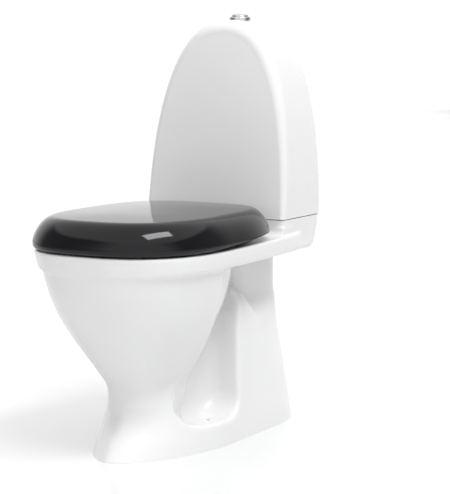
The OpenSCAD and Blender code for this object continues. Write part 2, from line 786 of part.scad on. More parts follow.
module hinge_bolts() {
    color("silver") pair(hinge_x) translate([0, hinge_y, band_low - 28])
        cylinder(r = hinge_pin_r, h = band_h + 28 + hinge_rise - 11);
}

module hinge_washers() {
    color("dimgray") pair(hinge_x) translate([0, hinge_y, band_low - 3])
        tube(hinge_pin_r + 8, hinge_pin_r, 3);
}

module hinge_nuts() {
    color("silver") pair(hinge_x) translate([0, hinge_y, band_low - 3 - 12])
        hex_nut(hinge_pin_r + 7, hinge_pin_r, 12);
}

pan();
cistern_cover();
cover_strip();
inner_tank();
tank_gasket();
tank_bolts();
tank_bolt_washers();
tank_nuts();
flush_valve_body();
flush_valve_nut();
overflow_tube();
valve_seal();
lift_stem();
lift_lever();
lever_pin();
full_flush_button();
full_push_rod();
half_flush_button();
half_push_rod();
button_bezel();
bezel_nut();
rod_guide();
fill_valve_body();
fill_valve_gasket();
fill_valve_nut();
float_arm();
float_cup();
seat_ring();
seat_buffers();
lid();
lid_buffers();
hinge_posts();
hinge_pins();
hinge_bolts();
hinge_washers();
hinge_nuts();
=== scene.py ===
import math

import bmesh
import bpy
import numpy as np
import openvdb
from mathutils import Matrix, Vector


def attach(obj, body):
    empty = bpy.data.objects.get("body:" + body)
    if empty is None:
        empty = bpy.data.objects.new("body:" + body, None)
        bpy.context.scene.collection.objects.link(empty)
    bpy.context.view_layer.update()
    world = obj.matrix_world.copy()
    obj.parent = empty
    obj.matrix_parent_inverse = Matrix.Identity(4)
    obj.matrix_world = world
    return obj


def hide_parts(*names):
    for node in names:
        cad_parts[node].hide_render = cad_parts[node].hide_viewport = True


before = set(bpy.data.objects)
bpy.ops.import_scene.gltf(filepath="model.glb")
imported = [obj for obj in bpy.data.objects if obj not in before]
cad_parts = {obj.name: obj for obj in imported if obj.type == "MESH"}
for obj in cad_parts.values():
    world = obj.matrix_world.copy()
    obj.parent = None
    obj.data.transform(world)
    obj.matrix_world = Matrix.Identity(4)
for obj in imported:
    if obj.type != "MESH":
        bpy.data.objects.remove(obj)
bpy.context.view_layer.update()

# ---- Camera ----
# Stands 3.45 m away, to the right of the front, a little above the lid, with a long lens. It aims
# past the toilet's right, which leaves the white margin there.
VIEW_ANGLE = math.radians(31.2)
VIEW_DISTANCE = 3.45
VIEW_HEIGHT = 0.812
AIMED_HEIGHT = 0.420
LENS = 127.5
right = Vector((math.cos(VIEW_ANGLE), math.sin(VIEW_ANGLE), 0))
fall = math.atan2(VIEW_HEIGHT - AIMED_HEIGHT, VIEW_DISTANCE)
ahead = Vector((-math.sin(VIEW_ANGLE) * math.cos(fall), math.cos(VIEW_ANGLE) * math.cos(fall),
                -math.sin(fall)))
look = ahead + 0.02956 * right - 0.00972 * right.cross(ahead)
lens = bpy.data.cameras.new("camera")
lens.lens = LENS
camera = bpy.data.objects.new("camera", lens)
camera.location = (VIEW_DISTANCE * math.sin(VIEW_ANGLE), -VIEW_DISTANCE * math.cos(VIEW_ANGLE), VIEW_HEIGHT)
camera.rotation_euler = look.to_track_quat("-Z", "Y").to_euler()
bpy.context.scene.collection.objects.link(camera)
bpy.context.scene.camera = camera

# ---- Floor ----
# A pale studio floor with a soft gloss that mirrors the foot faintly. A pool of light is painted into it
# along a broad strip from front to back. Its colour is painted lighter there and darker towards the sides
# (painted shade), and it glows faintly though it is no lamp.
FLOOR_HALF = 14.0
PAINTED_LIGHT_HALF, PAINTED_LIGHT_EDGE, PAINTED_SIDE_SHARE = 1.9, 3.2, 0.3
floor_mesh = bpy.data.meshes.new("studio_floor")
floor_mesh.from_pydata([(-FLOOR_HALF, -FLOOR_HALF, 0), (FLOOR_HALF, -FLOOR_HALF, 0),
                        (FLOOR_HALF, FLOOR_HALF, 0), (-FLOOR_HALF, FLOOR_HALF, 0)], [], [(0, 1, 2, 3)])
floor = bpy.data.objects.new("studio_floor", floor_mesh)
bpy.context.scene.collection.objects.link(floor)


def material(name, colour, roughness, metal=0.0, coat=0.0):
    """A new Principled material: its node tree and its shader."""
    made = bpy.data.materials.new(name)
    made.use_nodes = True
    shader = made.node_tree.nodes["Principled BSDF"]
    shader.inputs["Base Color"].default_value = colour
    shader.inputs["Roughness"].default_value = roughness
    shader.inputs["Metallic"].default_value = metal
    shader.inputs["Coat Weight"].default_value = coat
    return made, made.node_tree, shader


def noise(tree, scale, detail=3.0, stretch=(1, 1, 1)):
    """Noise over the object's own place, in metres."""
    place = tree.nodes.new("ShaderNodeTexCoord")
    mapping = tree.nodes.new("ShaderNodeMapping")
    mapping.inputs["Scale"].default_value = stretch
    texture = tree.nodes.new("ShaderNodeTexNoise")
    texture.inputs["Scale"].default_value = scale
    texture.inputs["Detail"].default_value = detail
    tree.links.new(place.outputs["Object"], mapping.inputs["Vector"])
    tree.links.new(mapping.outputs["Vector"], texture.inputs["Vector"])
    return texture.outputs["Fac"]


def spread(tree, factor, low, high, socket):
    """Sends a factor, spread from low to high, to a socket."""
    ramp = tree.nodes.new("ShaderNodeMapRange")
    ramp.inputs["From Min"].default_value = 0.3
    ramp.inputs["From Max"].default_value = 0.7
    ramp.inputs["To Min"].default_value = low
    ramp.inputs["To Max"].default_value = high
    tree.links.new(factor, ramp.inputs["Value"])
    tree.links.new(ramp.outputs["Result"], socket)


def tint(tree, factor, first, second, socket):
    """Mixes two colours by a factor."""
    ramp = tree.nodes.new("ShaderNodeValToRGB")
    ramp.color_ramp.elements[0].position = 0.3
    ramp.color_ramp.elements[1].position = 0.7
    ramp.color_ramp.elements[0].color = first
    ramp.color_ramp.elements[1].color = second
    tree.links.new(factor, ramp.inputs["Fac"])
    tree.links.new(ramp.outputs["Color"], socket)


def bump(tree, shader, factor, height, strength=1.0):
    """Raises the surface by a factor, up to a height in metres."""
    node = tree.nodes.new("ShaderNodeBump")
    node.inputs["Strength"].default_value = strength
    node.inputs["Distance"].default_value = height
    tree.links.new(factor, node.inputs["Height"])
    tree.links.new(node.outputs["Normal"], shader.inputs["Normal"])


def toward(tree, place, direction, low, high, first, second):
    """A value that goes from first to second as the place along a direction goes from low to high."""
    measure = tree.nodes.new("ShaderNodeVectorMath")
    measure.operation = "DOT_PRODUCT"
    measure.inputs[1].default_value = direction
    fade = tree.nodes.new("ShaderNodeMapRange")
    fade.interpolation_type = "SMOOTHSTEP"
    for name, value in zip(("From Min", "From Max", "To Min", "To Max"), (low, high, first, second)):
        fade.inputs[name].default_value = value
    tree.links.new(place, measure.inputs[0])
    tree.links.new(measure.outputs["Value"], fade.inputs["Value"])
    return fade.outputs["Result"]


def pick(tree, operation, first, second):
    """The smaller or the larger of two values."""
    node = tree.nodes.new("ShaderNodeMath")
    node.operation = operation
    tree.links.new(first, node.inputs[0])
    tree.links.new(second, node.inputs[1])
    return node.outputs["Value"]


floor_finish, tree, shader = material("pale_floor", (0.8, 0.8, 0.8, 1), 0.3)
shader.inputs["Specular IOR Level"].default_value = 0.35
shader.inputs["Emission Color"].default_value = (1, 1, 1, 1)
ground = tree.nodes.new("ShaderNodeTexCoord").outputs["Object"]
# Painted light: a mask along the strip paints the floor's colour lighter and its faint glow stronger there,
# and paints both darker towards the sides
painted_light_share = pick(tree, "MINIMUM", toward(tree, ground, tuple(right), PAINTED_LIGHT_HALF, PAINTED_LIGHT_EDGE, 1, PAINTED_SIDE_SHARE),
           toward(tree, ground, tuple(-right), PAINTED_LIGHT_HALF, PAINTED_LIGHT_EDGE, 1, PAINTED_SIDE_SHARE))
tint(tree, painted_light_share, (0.25, 0.25, 0.25, 1), (0.75, 0.75, 0.755, 1), shader.inputs["Base Color"])
spread(tree, painted_light_share, 0.02, 0.05, shader.inputs["Emission Strength"])
spread(tree, noise(tree, 3.0), 0.11, 0.16, shader.inputs["Roughness"])
floor_mesh.materials.append(floor_finish)

# ---- Light ----
# A studio with a white backdrop behind the toilet, a lit ceiling and a dimmer room in front, dark at
# the sides, and one large soft box high on the right.
BACKDROP, CEILING, ROOM, SIDES = 1.10, 1.10, 1.0, 0.26
world = bpy.data.worlds.new("white_studio")
world.use_nodes = True
sky = world.node_tree
facing = sky.nodes.new("ShaderNodeTexCoord").outputs["Generated"]
level_ahead = Vector((-math.sin(VIEW_ANGLE), math.cos(VIEW_ANGLE), 0))
behind = toward(sky, facing, tuple(level_ahead), 0.35, 0.75, SIDES, BACKDROP)
in_front = toward(sky, facing, tuple(-level_ahead), 0.30, 0.80, SIDES, ROOM)
above = toward(sky, facing, (0, 0, 1), 0.50, 0.62, 0, CEILING)
sky.links.new(pick(sky, "MAXIMUM", pick(sky, "MAXIMUM", behind, in_front), above),
              sky.nodes["Background"].inputs["Strength"])
sky.nodes["Background"].inputs["Color"].default_value = (1.0, 1.0, 1.0, 1)
bpy.context.scene.world = world
bpy.context.scene.view_settings.view_transform = "Standard"
bpy.context.scene.view_settings.look = "None"


def place_light(name, kind, place, target, energy, colour=(1, 1, 1)):
    """A light that faces a point."""
    light = bpy.data.lights.new(name, kind)
    light.energy = energy
    light.color = colour
    lamp = bpy.data.objects.new(name, light)
    lamp.location = place
    lamp.rotation_euler = (Vector(target) - Vector(place)).to_track_quat("-Z", "Y").to_euler()
    bpy.context.scene.collection.objects.link(lamp)
    return light


soft_box = place_light("soft_box", "AREA", (3.96, -1.19, 7.2), (0, 0, 0.4), 340, (0.98, 0.99, 1))
soft_box.shape = "RECTANGLE"
soft_box.size, soft_box.size_y = 4.8, 2.1

# ---- Pan ----
# One casting of glazed vitreous china, slip-cast hollow: foot, bowl, banded rim, deck, trap and side
# recesses. It is screwed to the floor through the recess floors. Sizes here are in millimetres.
GRID = 3.5
FRONT_Y, BACK_Y, DECK_FRONT = -327.0, 327.0, 160.0
RIM_TOP, SEAM, BAND_LOW = 402.0, 432.0, 366.0
WALL = 11.0
TRAP_R = 31.0
SPIGOT_R, SPIGOT_LOW, SPIGOT_TOP = 51.0, 6.0, 92.0
COLUMN_FRONT, COLUMN_BACK = 112.0, 305.0
VALVE_Y, FILL_Y, TRAP_LEG_Y = 272.0, 230.0, 175.0
# Stations: height, half width, middle, front, rear
BOWL = ((60, 58, -84, -176, -56), (98, 67, -81, -184, -51), (112, 69, -77, -185, -47),
        (135, 74, -74, -189, -44), (160, 88, -75, -205, -45), (200, 112, -79, -234, -49),
        (240, 134, -85, -262, -55), (280, 151, -91, -286, -61), (320, 163, -94, -304, -64),
        (368, 174, -100, -316, -70), (402, 180, -104, -325, -76))
BASIN = ((98, 46, -80, -140, -36), (130, 58, -82, -160, -24), (160, 75, -86, -180, -6),
         (200, 101, -90, -215, 14), (240, 123, -95, -245, 38), (300, 145, -100, -275, 78),
         (370, 156, -100, -295, 100))
WATER = ((110, 32, -86, -140, -56), (135, 47, -88, -170, -40), (160, 63, -90, -188, -20),
         (200, 90, -93, -219, 0), (240, 112, -97, -248, 24), (300, 134, -101, -283, 64),
         (350, 144, -101, -301, 84))
# Stations of the foot: height, half width, middle, front, taper
FOOT = ((0, 128.5, 3, -244, 0), (25, 127, 3, -224, 0.015), (50, 125, 3, -202, 0.04),
        (80, 122, 3, -186, 0.067), (105, 120, 3, -178, 0.09), (125, 119, 3, -168, 0.12),
        (200, 117, 10, -60, 0.26), (232, 112, 20, -50, 0.27), (250, 100, 25, -45, 0.2),
        (264, 84, 25, -40, 0.08))
COLUMN = ((150, 80), (255, 82), (300, 81), (370, 82))
TRAP = ((-96, 150), (-72, 140), (-40, 134), (-8, 146), (18, 172), (40, 202), (66, 228), (98, 240),
        (130, 234), (156, 214), (172, 188), (175, 168), (175, 100), (175, 36))
# The side recess: its outline, y and height, less the radius of its corners, and its depth
RECESS = ((-76, 100), (-58, 98), (8, 98), (9, 217), (20, 272), (34, 296), (-50, 296))
RECESS_CORNER, RECESS_IN = 48.0, 44.5


def follow(z, table):
    """Values between stations at heights z, on smooth curves."""
    rows = np.array(table, float)
    heights, values = rows[:, 0], rows[:, 1:]
    slopes = np.gradient(values, heights, axis=0)
    k = np.clip(np.searchsorted(heights, z) - 1, 0, len(heights) - 2)
    span = heights[k + 1] - heights[k]
    u = np.clip((z - heights[k]) / span, 0, 1)
    a, b = 2 * u**3 - 3 * u**2 + 1, u**3 - 2 * u**2 + u
    c, d = 3 * u**2 - 2 * u**3, u**3 - u**2
    return [a * values[k, i] + b * span * slopes[k, i] + c * values[k + 1, i] + d * span * slopes[k + 1, i]
            for i in range(values.shape[1])]


def egg(x, y, half, middle, front, rear, front_power=2.5, rear_power=2.0, taper=0.0):
    """Distance outside an egg-shaped outline, negative inside, measured towards its middle."""
    v = y - middle
    reach = np.where(v < 0, middle - front, rear - middle)
    power = np.where(v < 0, front_power, rear_power)
    narrowed = half * (1 - taper * np.where(v > 0, np.minimum(v / reach, 1.1), 0)**2)
    size = ((np.abs(x) / narrowed)**power + (np.abs(v) / reach)**power)**(1 / power)
    return np.hypot(x, v) * (1 - 1 / np.maximum(size, 1e-3))


def join(a, b, soft):
    """Union of two distances, blended over a soft radius."""
    h = np.clip(0.5 + 0.5 * (b - a) / soft, 0, 1)
    return b + (a - b) * h - soft * h * (1 - h)


def common(a, b, soft):
    """What lies in both, with the edge between them eased."""
    return -join(-a, -b, soft)


def along(x, y, z, path):
    """Distance to a path in the middle plane."""
    best = np.full(x.shape, 1e9)
    for (y0, z0), (y1, z1) in zip(path, path[1:]):
        dy, dz = y1 - y0, z1 - z0
        t = np.clip(((y - y0) * dy + (z - z0) * dz) / (dy * dy + dz * dz), 0, 1)
        best = np.minimum(best, (y - y0 - t * dy)**2 + (z - z0 - t * dz)**2)
    return np.sqrt(x * x + best)


def outline(y, z, points):
    """Signed distance to a closed outline in y and z, negative inside."""
    best, inside = np.full(y.shape, 1e9), np.zeros(y.shape, bool)
    for (y0, z0), (y1, z1) in zip(points, points[1:] + points[:1]):
        dy, dz = y1 - y0, z1 - z0
        t = np.clip(((y - y0) * dy + (z - z0) * dz) / (dy * dy + dz * dz), 0, 1)
        best = np.minimum(best, (y - y0 - t * dy)**2 + (z - z0 - t * dz)**2)
        crosses = ((z0 > z) != (z1 > z)) & (y < y0 + (z - z0) * dy / (dz if dz else 1))
        inside ^= crosses
    return np.where(inside, -1, 1) * np.sqrt(best)


def china(x, y, z):
    """Signed distance to the pan's surface, in millimetres."""
    def foot(inset):
        # Its shoulder rises towards the front round the column's corner
        rise = np.clip((152 - y) * 0.75, 0, 34) * np.clip((z - 170) / 70, 0, 1)
        half, middle, front, taper = follow(z - rise, FOOT)
        side = egg(x, y, half - inset, middle, front + 1.3 * inset, COLUMN_BACK - inset, 1.7, 9, taper)
        return common(side, z - rise - (266 - inset), 8)

    def recess(grow):
        return common(outline(y, z, RECESS) - RECESS_CORNER - grow, RECESS_IN - grow - np.abs(x), 44)

    trap = along(x, y, z, TRAP)
    column_half = follow(z, COLUMN)[0]

    def column(inset):
        return egg(x, y, column_half - inset, COLUMN_FRONT + 75, COLUMN_FRONT + inset,
                   COLUMN_BACK - inset, 3, 6, 0.05)

    bowl = egg(x, y, *follow(z, BOWL))
    bowl = np.maximum(bowl, 62 - z)
    basin = np.maximum(egg(x, y, *follow(z, BASIN)), 98 - z)
    body = join(bowl, basin, 10)
    sides = -join(-foot(0), recess(0), 12)
    body = join(body, sides, 16)
    leg = np.maximum(column(0), 140 - z)
    leg = join(leg, np.maximum(egg(x, y, 46, 120, 30, 200), 205 - z), 16)
    leg = join(leg, trap - (TRAP_R + WALL - 3), 12)
    body = join(body, leg, 12)
    body = np.maximum(body, z - (BAND_LOW + 16))
    # The rim's band: its foot drawn in with a step that fades towards the front, its top rounded over
    drawn_in = follow(z, ((BAND_LOW, 9), (BAND_LOW + 3, 5.5), (BAND_LOW + 12, 2.5), (RIM_TOP - 6, 0),
                          (RIM_TOP, 0)))[0]
    share = np.clip((-190 - y) / 110, 0, 1)
    drawn_in = drawn_in * (1 - share) + 0.25 * (RIM_TOP - z) * share
    side = egg(x, y, 187 - drawn_in, -98, FRONT_Y + 2 + drawn_in, BACK_Y - 30, 2.6, 9, 0.14)
    band = np.maximum(common(side, z - RIM_TOP, 6), BAND_LOW - z)
    body = join(body, band, 6)
    lean = follow(z, ((366, 3, 34), (376, 0, 24), (392, 0, 14), (414, 0, 5), (432, 0, 0)))
    block = egg(x, y, 163 - lean[0], 243.5, DECK_FRONT - 40 * (z < RIM_TOP - 4), BACK_Y - lean[1], 16, 16)
    body = join(body, np.maximum(block, BAND_LOW - z), 4)
    cove = np.maximum(np.maximum(np.abs(x) - 163, DECK_FRONT - 16 - y), y - 200)
    quarter = 16 - np.hypot(y - (DECK_FRONT - 16), z - (RIM_TOP + 16))
    cove = np.maximum(np.maximum(cove, quarter), np.maximum(z - RIM_TOP - 16, RIM_TOP - 8 - z))
    body = join(body, cove, 3)

    # Hollows: under the foot, in the column, under the deck and the flush chamber
    hollow = np.maximum(foot(WALL), -(recess(WALL)))
    hollow = np.maximum(hollow, -np.where(y < 66, 88 - z, 1e3))
    hollow = np.maximum(hollow, WALL - 3 + TRAP_R - trap)
    hollow = np.minimum(hollow, np.maximum(np.maximum(column(WALL), COLUMN_FRONT + 61 - y),
                                           np.maximum(WALL - 3 + TRAP_R - trap, z - 362)))
    pocket = egg(x, y, 152, 243.5, DECK_FRONT + WALL, BACK_Y - 34, 7, 7)
    pocket = np.maximum(np.maximum(pocket, 82 - np.abs(x)), np.maximum(z - 421, BAND_LOW - 6 - z))
    chamber = np.maximum(np.maximum(np.abs(x) - 68, np.abs(z - 396.5) - 24.5),
                         np.maximum(DECK_FRONT + WALL - y, y - 293))
    hollow = np.minimum(hollow, np.minimum(pocket, chamber))
    # The water side: basin, opening through the rim, and the trap
    basin_in = np.maximum(egg(x, y, *follow(z, WATER)), np.maximum(z - 352, 106 - z))
    flare = np.maximum(z - 396, 0) * 0.5
    opening = np.maximum(egg(x, y, 128 + flare, -94, -284 - flare, 72 + flare, 2.4, 2.2), 345 - z)
    water = join(join(basin_in, opening, 8), trap - TRAP_R, 10)
    hollow = np.minimum(hollow, water)
    body = -join(-body, hollow, 5)

    ring = np.hypot(x, y - TRAP_LEG_Y)
    spigot = np.maximum(ring - SPIGOT_R, np.maximum(z - SPIGOT_TOP, SPIGOT_LOW - z))
    bore = np.minimum(np.maximum(ring - SPIGOT_R + 8, z - SPIGOT_TOP + 8), np.maximum(ring - TRAP_R, z - 150))
    return np.maximum(join(body, spigot, 4), -bore)


def surface_of(field, low, high, step):
    """The field's zero surface as quads, each corner moved onto the surface exactly."""
    axes = [np.arange(a, b + step, step) for a, b in zip(low, high)]
    values = field(*np.meshgrid(*axes, indexing="ij"))
    grid = openvdb.FloatGrid(3 * step)
    grid.copyFromArray(np.clip(values, -3 * step, 3 * step).astype(np.float32))
    corners, quads = grid.convertToQuads(isovalue=0)[:2]
    corners = corners.astype(float) * step + np.array([a[0] for a in axes])
    for _ in range(3):
        here = field(*corners.T)
        slope = np.stack([(field(*(corners + shift).T) - here) / 0.3 for shift in np.eye(3) * 0.3], axis=1)
        move = -here[:, None] * slope / np.maximum((slope**2).sum(axis=1), 0.2)[:, None]
        corners += np.clip(move, -0.4 * step, 0.4 * step)
    return corners, quads


def mesh_object(name, corners, faces, scale=0.001):
    """A new smooth-shaded object from corners in millimetres, its normals facing out."""
    mesh = bpy.data.meshes.new(name)
    mesh.from_pydata((np.asarray(corners, float) * scale).tolist(), [], [tuple(map(int, f)) for f in faces])
    made = bmesh.new()
    made.from_mesh(mesh)
    bmesh.ops.recalc_face_normals(made, faces=made.faces)
    made.to_mesh(mesh)
    made.free()
    mesh.shade_smooth()
    piece = bpy.data.objects.new(name, mesh)
    bpy.context.scene.collection.objects.link(piece)
    return piece


def round_cutters(rods):
    """One object of closed rods, each (x, y, low, high, radius) in millimetres, to cut bores with."""
    made = bmesh.new()
    for x, y, low, high, radius in rods:
        bmesh.ops.create_cone(made, cap_ends=True, segments=48, radius1=radius / 1000, radius2=radius / 1000,
                              depth=(high - low) / 1000,
                              matrix=Matrix.Translation((x / 1000, y / 1000, (low + high) / 2000)))
    return cutter_object(made)


def cutter_object(made):
    mesh = bpy.data.meshes.new("cutter")
    made.to_mesh(mesh)
    made.free()
    piece = bpy.data.objects.new("cutter", mesh)
    bpy.context.scene.collection.objects.link(piece)
    return piece


def box_cutter(low, high):
    """A box between two corners in millimetres."""
    made = bmesh.new()
    bmesh.ops.create_cube(made, size=1.0)
    for corner in made.verts:
        corner.co = Vector([(a if c < 0 else b) / 1000 for c, a, b in zip(corner.co, low, high)])
    return cutter_object(made)


def carve(piece, cutter, operation="DIFFERENCE"):
    """Applies a cut to the piece's own mesh and drops the cutter."""
    cut = piece.modifiers.new("cut", "BOOLEAN")
    cut.operation = operation
    cut.solver = "MANIFOLD"
    cut.object = cutter
    bpy.context.view_layer.update()
    result = bpy.data.meshes.new_from_object(piece.evaluated_get(bpy.context.evaluated_depsgraph_get()))
    piece.modifiers.clear()
    piece.data = result
    bpy.data.objects.remove(cutter)


def smooth_by_angle(piece, degrees):
    """Smooth shading, with edges sharper than an angle kept crisp."""
    piece.data.shade_smooth()
    piece.data.set_sharp_from_angle(angle=math.radians(degrees))


corners, quads = surface_of(china, (-200, -340, -12), (200, 336, 444), GRID)
pan = mesh_object("china_pan", corners, quads)
carve(pan, box_cutter((-300, -400, 0), (300, 400, SEAM)), "INTERSECT")
carve(pan, round_cutters([(0, VALVE_Y, 415, 460, 38), (-102, FILL_Y, 400, 460, 11.5),
                          (-106, 285, 400, 460, 5), (106, 285, 400, 460, 5),
                          (-77.5, 118, 346, 427, 5), (77.5, 118, 346, 427, 5),
                          (-90.5, -20, 34, 60, 4), (90.5, -20, 34, 60, 4)]))
smooth_by_angle(pan, 38)
glaze, tree, shader = material("white_glaze", (0.79, 0.79, 0.785, 1), 0.2)
shader.inputs["Specular IOR Level"].default_value = 0.5
tint(tree, noise(tree, 9, 4), (0.784, 0.784, 0.778, 1), (0.80, 0.80, 0.796, 1), shader.inputs["Base Color"])
spread(tree, noise(tree, 60, 5), 0.15, 0.22, shader.inputs["Roughness"])
bump(tree, shader, noise(tree, 22, 2), 0.0006, 0.25)
pan.data.materials.clear()
pan.data.materials.append(glaze)
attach(pan, "pan")
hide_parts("pan")

# ---- Cistern hood ----
# A glazed china hood over the tank, open below, that stands on the deck on a foam strip. Its face
# leans back, its outline is an upright arch, and the button's thread clamps it from above.
HOOD_W, HOOD_DEPTH, HOOD_TOP, HOOD_BASE = 326.0, 167.0, 835.0, 433.6
LEAN, EDGE_LOW, EDGE_HIGH, BACK_EDGE, HOOD_WALL = 40.0, 10.0, 29.0, 10.0, 9.0
ROWS = 90


def arch(inset, turn, share, back_turn, crown=0.0, across=1.0, low=0.0):
    """One upright arch of the hood, as points; across below 1 draws it in towards the middle."""
    a = np.linspace(0, math.pi, 2 * ROWS + 1)
    up = np.sin(a).clip(0, 1)**(2 / 2.41)
    radius = np.maximum(EDGE_LOW + (EDGE_HIGH - EDGE_LOW) * up - inset, 5)
    s = inset + radius * (1 - math.sin(turn)) + BACK_EDGE * (1 - math.cos(back_turn))
    face = inset + radius * (1 - math.cos(turn)) + LEAN * up
    rear = HOOD_DEPTH - inset - BACK_EDGE * (1 - math.sin(back_turn))
    x = -(HOOD_W / 2 - s) * np.sign(np.cos(a)) * np.abs(np.cos(a))**(2 / 2.45) * across
    y = DECK_FRONT + face * (1 - share) + rear * share - crown * (1 - across**2) * up * (1 - up**4) * 2
    z = HOOD_BASE + (HOOD_TOP - HOOD_BASE - s) * up
    z[0] -= low
    z[-1] -= low
    return np.stack([x, y, z], axis=1)


def hood_shell(name, inset, low=0.0):
    """The closed solid inside the hood's outline at an inset, reaching low under its base."""
    turns = np.linspace(0, math.pi / 2, 13)
    sections = [arch(inset, 0, 0, 0, 2.5, across, low) for across in np.linspace(0, 1, 10)[:-1]]
    sections += [arch(inset, t, 0, 0, 0, 1, low) for t in turns]
    sections += [arch(inset, math.pi / 2, share, 0, 0, 1, low) for share in (0.1, 0.25, 0.5, 0.75, 0.9)]
    sections += [arch(inset, math.pi / 2, 1, t, 0, 1, low) for t in turns[::2]]
    sections += [arch(inset, math.pi / 2, 1, math.pi / 2, 0, across, low) for across in (0.7, 0.35, 0)]
    count = 2 * ROWS + 1
    points = np.concatenate(sections)
    faces = []
    for k in range(len(sections) - 1):
        for i in range(count - 1):
            faces.append((k * count + i, k * count + i + 1, (k + 1) * count + i + 1, (k + 1) * count + i))
    # The base, from left ends to right ends of neighbouring arches
    for k in range(len(sections) - 1):
        faces.append((k * count, (k + 1) * count, (k + 2) * count - 1, (k + 1) * count - 1))
    piece = mesh_object(name, points, faces)
    made = bmesh.new()
    made.from_mesh(piece.data)
    bmesh.ops.remove_doubles(made, verts=made.verts, dist=2e-5)
    bmesh.ops.dissolve_degenerate(made, edges=made.edges, dist=1e-5)
    bmesh.ops.recalc_face_normals(made, faces=made.faces)
    made.to_mesh(piece.data)
    made.free()
    return piece


hood = hood_shell("cistern_hood", 0)
carve(hood, hood_shell("cutter", HOOD_WALL, 6))
carve(hood, round_cutters([(0, VALVE_Y, 780, 850, 20.5)]))
smooth_by_angle(hood, 40)
hood.data.materials.clear()
hood.data.materials.append(glaze)
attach(hood, "pan")
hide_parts("cistern_cover")

# ---- Lid ----
# A domed shell of gloss black thermoset plastic, hollow below, that overhangs the seat and is
# hinged with it on two posts at its rear.
LID_LOW, LID_TOP, LID_ROOF, LID_REAR, LID_EDGE, LID_HALF = 406.0, 469.0, 458.0, 150.0, 40.0, 190.0
LID_SWEEP = 19.0
HINGE_Y, HINGE_Z, HINGE_X, PIN_R = 118.0, 440.0, 77.5, 4.05
SEAT_LUG_IN, LID_LUG_IN, LUG_W = 59.5, 87.0, 8.0


def around(z, half, middle, front, rear, front_power, rear_power, count=144):
    """One egg-shaped ring of points at height z."""
    a = np.linspace(0, 2 * math.pi, count, endpoint=False)
    c, s = np.cos(a), np.sin(a)
    power = np.where(c > 0, front_power, rear_power)
    x = half * np.sign(s) * np.abs(s)**(2 / power)
    y = middle - np.where(c > 0, middle - front, rear - middle) * np.sign(c) * np.abs(c)**(2 / power)
    return np.stack([x, y, np.full(count, float(z))], axis=1)


def lid_ring(z, inset, rear):
    return around(z, LID_HALF - inset, -98, FRONT_Y + inset, rear, 2.6, 3.8)


def ring_solid(name, rings, tip=None):
    """A closed solid through rings of points, its ends filled; tip closes the top in a point."""
    count = len(rings[0])
    points = np.concatenate(rings)
    faces = [(k * count + i, k * count + (i + 1) % count,
              (k + 1) * count + (i + 1) % count, (k + 1) * count + i)
             for k in range(len(rings) - 1) for i in range(count)]
    last = (len(rings) - 1) * count
    faces.append(tuple(range(count)))
    if tip is None:
        faces.append(tuple(range(last, last + count)))
    else:
        points = np.vstack([points, tip])
        faces += [(last + i, last + (i + 1) % count, len(points) - 1) for i in range(count)]
    return mesh_object(name, points, faces)


def lid_side(top, inset_low):
    """Rings up the lid's side and over its rounded edge to a top height."""
    rings = []
    for a in np.radians(np.arange(0, 91, 5)):
        inset = LID_EDGE * (1 - math.cos(a))
        rings.append(lid_ring(LID_LOW + 12 + (top - LID_LOW - 12) * math.sin(a)**1.45, inset_low + inset,
                              LID_REAR - inset_low - 0.6 * inset))
    return rings


def lid_dome(crown):
    """Rings from the rounded edge to the middle of the top, rising by a low crown."""
    return [lid_ring(LID_TOP - 4 + crown * math.sin(t * math.pi / 2),
                     LID_EDGE + 146 * t, LID_REAR - 24 - 160 * t)
            for t in (0.06, 0.13, 0.22, 0.32, 0.44, 0.57, 0.7, 0.83, 0.94)]


lid = ring_solid("lid_shell", [lid_ring(LID_LOW, 3, LID_REAR - 3),
                               lid_ring(LID_LOW + 1.2, 1.3, LID_REAR - 1.6),
                               lid_ring(LID_LOW + 3.5, 0.4, LID_REAR - 0.6),
                               lid_ring(LID_LOW + 7, 0, LID_REAR)]
                 + lid_side(LID_TOP - 4, 0) + lid_dome(4), (0, -60, LID_TOP))
carve(lid, ring_solid("cutter", [lid_ring(LID_LOW - 5, 6, LID_REAR - 6)] + lid_side(LID_ROOF, 6)))


def slab(profile):
    """A solid of one outline, its points y and height, right across the toilet."""
    n = len(profile)
    points = [(x, y, z) for x in (-300, 300) for y, z in profile]
    faces = [tuple(range(n)), tuple(range(n, 2 * n))]
    faces += [(i, (i + 1) % n, n + (i + 1) % n, n + i) for i in range(n)]
    return mesh_object("cutter", points, faces)


def rear_wedge():
    """What the lid's rear edge loses so that it turns about the hinge clear of the rim."""
    reach = 36.0
    profile = [(HINGE_Y, 372)] + [(HINGE_Y + reach * math.sin(t), HINGE_Z - reach * math.cos(t))
                                  for t in np.radians(np.arange(0, 91, 6))]
    return slab(profile + [(HINGE_Y + 100, HINGE_Z), (HINGE_Y + 100, 372)])


carve(lid, rear_wedge())


def swept_edge():
    """What the lid's lower edge loses, so that it sweeps up from the front to the hinge."""
    start, end = -210, HINGE_Y + 60
    profile = [(start + t * (end - start), LID_LOW - 0.1 + (LID_SWEEP + 0.1) * t**1.3)
               for t in np.linspace(0, 1, 17)]
    return slab(profile + [(end, LID_LOW - 10), (start, LID_LOW - 10)])


carve(lid, swept_edge())
carve(lid, box_cutter((-104, HINGE_Y + 5, 402), (104, HINGE_Y + 120, HINGE_Z + 14)))


